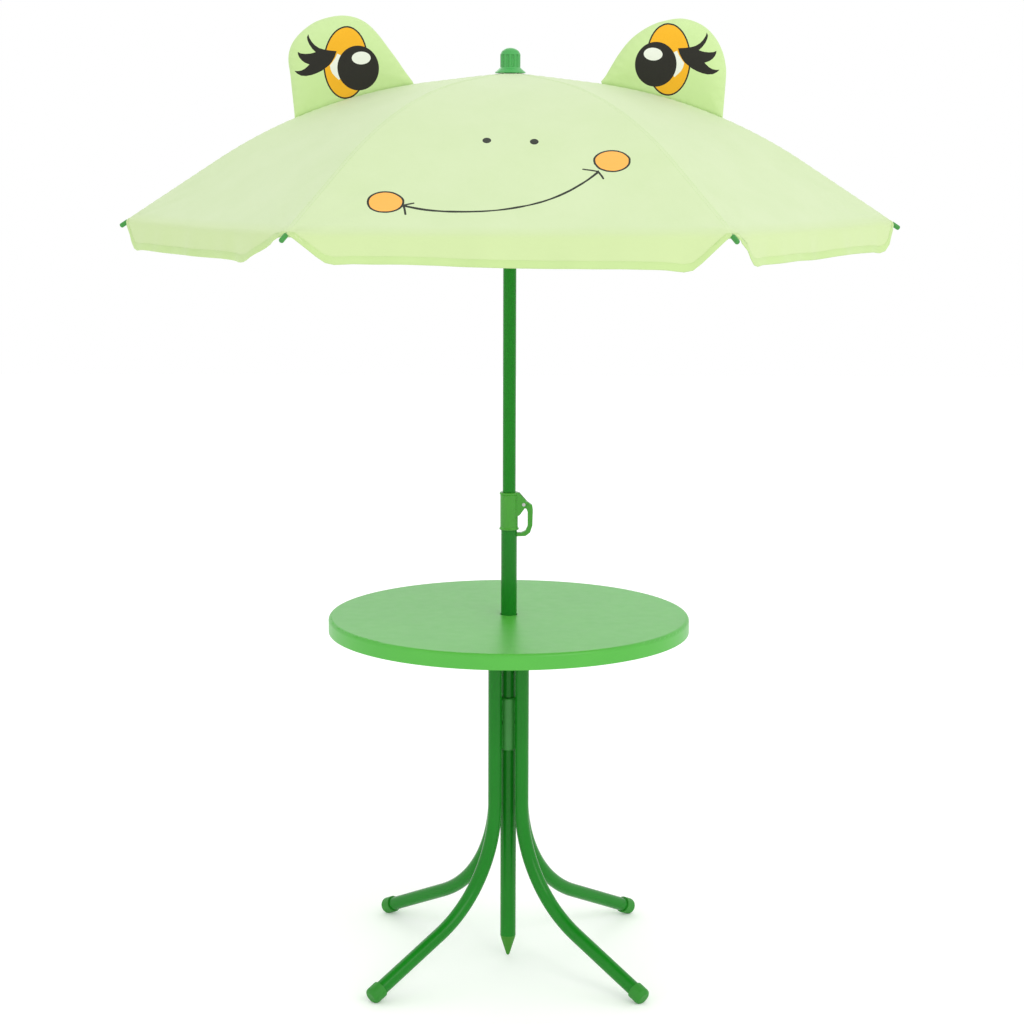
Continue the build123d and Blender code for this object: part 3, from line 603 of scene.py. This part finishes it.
STITCH_PITCH, STITCH_LENGTH = 3.4 * MM, 2.5 * MM
for number in range(1, 7):
    points, faces = [], []

    def sew(at):
        """Stitches along a line given as a function from 0 to 1 to (u, r, down)."""
        samples = [canopy_point(number, *at(k / 60)) for k in range(61)]
        length = sum((b - a).length for a, b in zip(samples, samples[1:]))
        count = int(length / STITCH_PITCH)
        for k in range(count):
            begin, finish = k / count, (k + STITCH_LENGTH / STITCH_PITCH) / count
            a, b = at(begin), at(finish)
            start, end = canopy_point(number, *a), canopy_point(number, *b)
            out = (canopy_point(number, *a, -0.5 * MM) - start).normalized()
            stitch(points, faces, start, end, out)

    for side in (-1, 1):
        def beside_rib(t, side=side):
            r = 40 * MM + (CORNER_R - 48 * MM) * t
            return side * (1 - 3.2 * MM / (r * sin(HALF))), r, 0.0
        sew(beside_rib)

    def along_hem(t):
        u = -0.985 + 1.97 * t
        full = skirt_drop(number, u)
        return u, CORNER_R, max(0.0, full - (HEM_WIDTH - 1.3 * MM) * min(1.0, full / (HEM_WIDTH + 3 * MM)))
    sew(along_hem)
    threads = mesh_object(f"stitches_{number}", points, faces, [thread.material])
    panels[number, "stitches"] = threads

for number in range(1, 7):
    panel, hem, threads = panels[number], panels[number, "hem"], panels[number, "stitches"]
    for piece in (panel, hem, threads):
        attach(piece, f"panel_{number}")
    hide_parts(f"canopy_panel_{number}")
    for piece in (panel, hem, threads):
        gather(piece)

# ---------------------------------------------------------------- ears
EAR_THICK = 10.5 * MM                       # half thickness of the padding in the middle
EAR_EDGE = 30 * MM                          # how far in from the seam the padding reaches full thickness
FOOT_SINK = 1.5 * MM                        # the ear's sewn edge lies this far down in the seam
PRINT_UNIT = 0.1362 * MM                    # the eye is drawn in these units, from the middle of its oval
EAR_OUTLINES = {
    "left": [(-289, 1179), (-294, 1230), (-296.5, 1250), (-295, 1264), (-289, 1277), (-277, 1290), (-260, 1301.5),
             (-240, 1308), (-222, 1310), (-205, 1307), (-190, 1299), (-176, 1285), (-163, 1268), (-151, 1252),
             (-140, 1236), (-129, 1222)],
    "right": [(285, 1179), (288.5, 1232), (287, 1250), (283, 1265), (274.5, 1281), (262, 1294.5), (247, 1303),
              (228, 1307.5), (208, 1305), (190, 1299.5), (173, 1290), (158, 1277.5), (145, 1261), (135, 1245),
              (126, 1230), (119, 1223)],
}
EYE_CENTRE = {"left": (-219.2, 1248.3), "right": (210.4, 1253.8)}
EYE_TURN = {"left": 0.0, "right": radians(2.0)}
LASHES = [(-87, 107), (-107, 50), (-135, 5), (-165, -30), (-200, -55), (-235, -80), (-285, -103), (-335, -120),
          (-390, -130), (-440, -126), (-480, -106), (-507, -80), (-470, -83), (-435, -77), (-400, -60), (-370, -35),
          (-355, -20), (-400, -3), (-430, 18), (-455, 48), (-467, 75), (-469, 99), (-440, 85), (-395, 80),
          (-345, 83), (-315, 90), (-293, 97), (-325, 128), (-355, 170), (-373, 210), (-378, 240), (-366, 270),
          (-355, 235), (-330, 195), (-300, 163), (-260, 137), (-215, 123), (-155, 113), (-115, 110)]
WHITE_OF_EYE = [(-80, 83), (-102, 40), (-130, 2), (-155, -30), (-147, -70), (-130, -105), (-105, -132), (-70, -165),
                (-10, -120), (-10, 50)]


def oval(centre, radii, lean=0.0, count=44):
    ring = [(radii[0] * cos(2 * pi * k / count), radii[1] * sin(2 * pi * k / count)) for k in range(count)]
    return [(centre[0] + x * cos(lean) + y * sin(lean), centre[1] - x * sin(lean) + y * cos(lean)) for x, y in ring]


EYE = [("outline", 2, oval((0, 0), (219, 346), 0.058)), ("iris", 1, oval((0, 0), (204, 331), 0.058)),
       ("white", 3, WHITE_OF_EYE), ("lashes", 2, LASHES), ("pupil", 2, oval((121, -52), (203, 212), 0, 52)),
       ("glint", 3, oval((152, 43), (92, 60), -0.03))]


def spline(points, spacing):
    """A smooth line through points, resampled at an even spacing."""
    smooth_line = []
    for k in range(len(points) - 1):
        p0, p1 = points[max(0, k - 1)], points[k]
        p2, p3 = points[k + 1], points[min(len(points) - 1, k + 2)]
        for step in range(12):
            t = step / 12
            smooth_line.append(tuple(
                0.5 * (2 * p1[i] + (p2[i] - p0[i]) * t + (2 * p0[i] - 5 * p1[i] + 4 * p2[i] - p3[i]) * t * t
                       + (3 * p1[i] - p0[i] - 3 * p2[i] + p3[i]) * t ** 3) for i in (0, 1)))
    smooth_line.append(points[-1])
    lengths = [0.0]
    for a, b in zip(smooth_line, smooth_line[1:]):
        lengths.append(lengths[-1] + hypot(b[0] - a[0], b[1] - a[1]))
    count = max(2, round(lengths[-1] / spacing))
    result, k = [], 0
    for step in range(count + 1):
        want = lengths[-1] * step / count
        while k < len(lengths) - 2 and lengths[k + 1] < want:
            k += 1
        share = (want - lengths[k]) / max(1e-9, lengths[k + 1] - lengths[k])
        a, b = smooth_line[k], smooth_line[k + 1]
        result.append((a[0] + (b[0] - a[0]) * share, a[1] + (b[1] - a[1]) * share))
    return result


def inside(point, polygon):
    hit = False
    for a, b in zip(polygon, polygon[1:] + polygon[:1]):
        if (a[1] > point[1]) != (b[1] > point[1]):
            if point[0] < (b[0] - a[0]) * (point[1] - a[1]) / (b[1] - a[1]) + a[0]:
                hit = not hit
    return hit


def nearest(point, line):
    """Distance from a point to a line of points, and the length along the line to there."""
    best, best_at, length = 1e9, 0.0, 0.0
    for a, b in zip(line, line[1:]):
        run = (b[0] - a[0], b[1] - a[1])
        size = hypot(*run)
        t = min(1.0, max(0.0, ((point[0] - a[0]) * run[0] + (point[1] - a[1]) * run[1]) / max(1e-12, size * size)))
        away = hypot(point[0] - a[0] - run[0] * t, point[1] - a[1] - run[1] * t)
        if away < best:
            best, best_at = away, length + t * size
        length += size
    return best, best_at


def make_ear(side):
    flip = 1 if side == "left" else -1
    rim = spline([(x * MM, z * MM) for x, z in EAR_OUTLINES[side]], 3.2 * MM)
    foot = [(rim[-1][0] + (rim[0][0] - rim[-1][0]) * k / 46, 0) for k in range(1, 46)]
    foot = [(x, ridge(abs(x)) - FOOT_SINK) for x, _ in foot]
    rim[0] = (rim[0][0], ridge(abs(rim[0][0])) - FOOT_SINK)
    rim[-1] = (rim[-1][0], ridge(abs(rim[-1][0])) - FOOT_SINK)
    outline = rim + foot
    turn = EYE_TURN[side]
    prints = []
    for name, slot_index, shape in EYE:
        placed = []
        for a, b in shape:
            a, b = a * PRINT_UNIT, b * PRINT_UNIT * 1.014
            a, b = a * cos(turn) - b * sin(turn), a * sin(turn) + b * cos(turn)
            placed.append((EYE_CENTRE[side][0] * MM + flip * a, EYE_CENTRE[side][1] * MM + b))
        prints.append((name, slot_index, placed))
    spots = list(outline)
    edges = [(k, (k + 1) % len(outline)) for k in range(len(outline))]
    for name, slot_index, shape in prints:
        base = len(spots)
        spots += shape
        edges += [(base + k, base + (k + 1) % len(shape)) for k in range(len(shape))]
    pitch = 3.6 * MM
    low_x, high_x = min(p[0] for p in outline), max(p[0] for p in outline)
    low_z, high_z = min(p[1] for p in outline), max(p[1] for p in outline)
    borders = [outline + outline[:1]] + [shape + shape[:1] for name, slot_index, shape in prints]
    row = 0
    z = low_z
    while z < high_z:
        x = low_x + (pitch / 2 if row % 2 else 0)
        while x < high_x:
            if inside((x, z), outline) and min(nearest((x, z), line)[0] for line in borders) > 1.3 * MM:
                spots.append((x, z))
            x += pitch
        z += pitch * 0.87
        row += 1
    border = [list(range(len(outline)))]
    flat, _, triangles, *_ = geometry.delaunay_2d_cdt([Vector(s) for s in spots], edges, border, 1, 1e-7)
    flat = [(p.x, p.y) for p in flat]
    rim_of = [nearest(p, outline + outline[:1]) for p in flat]
    foot_away = [nearest(p, [rim[-1]] + foot + [rim[0]])[0] for p in flat]

    def height(k):
        away, at = rim_of[k]
        swell = sqrt(max(0.0, 1 - (1 - min(1.0, away / EAR_EDGE)) ** 2))
        foot_share = smooth(foot_away[k] / (55 * MM))
        gathers = 0.5 * MM * sin(2 * pi * at / (13 * MM)) * exp(-away / (9 * MM)) * smooth(away / (3 * MM))
        return EAR_THICK * swell * (0.42 + 0.58 * foot_share) + gathers

    points = [Vector((x, -height(k), z)) for k, (x, z) in enumerate(flat)]
    on_rim = [away < 0.02 * MM for away, at in rim_of]
    for k, (x, z) in enumerate(flat):
        if on_rim[k]:
            points[k] = Vector((x, 0, z))
    twin = {}
    for k, (x, z) in enumerate(flat):
        if on_rim[k]:
            twin[k] = k
        else:
            twin[k] = len(points)
            points.append(Vector((x, height(k), z)))
    places = [(p[0], p[2]) for p in points]
    faces, slots = [], []
    for triangle in triangles:
        if all(on_rim[v] for v in triangle):
            continue
        a, b, c = (flat[v] for v in triangle)
        if (b[0] - a[0]) * (c[1] - a[1]) - (b[1] - a[1]) * (c[0] - a[0]) < 0:
            triangle = triangle[::-1]
        middle = (sum(flat[v][0] for v in triangle) / 3, sum(flat[v][1] for v in triangle) / 3)
        layer = 0
        for name, slot_index, shape in prints:
            if inside(middle, shape):
                layer = slot_index
        faces.append(tuple(triangle))
        slots.append(layer)
        faces.append(tuple(twin[v] for v in reversed(triangle)))
        slots.append(0)
    ear = mesh_object(f"padded_ear_{side}", points, faces, ear_materials, places)
    for face, layer in zip(ear.data.polygons, slots):
        face.material_index = layer
    return ear, [k for k, p in enumerate(points) if p[2] < ridge(abs(p[0])) + 3 * MM]


def inflate(ear, held):
    """Blows the ear up as cloth with air inside, held along its foot, and keeps the settled mesh."""
    group = ear.vertex_groups.new(name="held")
    group.add(held, 1.0, "REPLACE")
    start = [v.co.copy() for v in ear.data.vertices]
    cloth = ear.modifiers.new("air", "CLOTH")
    settings = cloth.settings
    settings.quality = 8
    settings.mass = 0.2
    settings.tension_stiffness = settings.compression_stiffness = 25
    settings.shear_stiffness = 12
    settings.bending_stiffness = 0.6
    settings.use_pressure, settings.uniform_pressure_force = True, 3.0
    settings.vertex_group_mass = "held"
    settings.effector_weights.gravity = 0
    cloth.collision_settings.use_collision = False
    for number in range(1, 21):
        scene.frame_set(number)
    settled = bpy.data.meshes.new_from_object(ear.evaluated_get(bpy.context.evaluated_depsgraph_get()))
    ear.modifiers.clear()
    ear.vertex_groups.clear()
    limit = 7 * MM
    for vertex, was in zip(ear.data.vertices, start):
        move = settled.vertices[vertex.index].co - was
        if move.length > limit:
            move *= limit / move.length
        vertex.co = was + move
    scene.frame_set(1)


for side, rib in (("left", 4), ("right", 1)):
    ear, held = make_ear(side)
    inflate(ear, held)
    ear.data.set_sharp_from_angle(angle=radians(50))
    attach(ear, f"rib_{rib}")
    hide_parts(f"ear_{side}")

# ---------------------------------------------------------------- floor
floor = mesh_object("floor", [(-8, -8, 0), (8, -8, 0), (8, 8, 0), (-8, 8, 0)], [(0, 1, 2, 3)], [])
floor_paint = Paint("floor", roughness=1.0, Emission_Color=(1, 1, 1, 1), Emission_Strength=0.12)
floor_paint.shader.inputs["Specular IOR Level"].default_value = 0.0
floor_paint.colour(floor_paint.mix(floor_paint.noise(floor_paint.place(), 2), rgb(252, 252, 252), rgb(249, 249, 249)))
floor.data.materials.append(floor_paint.material)
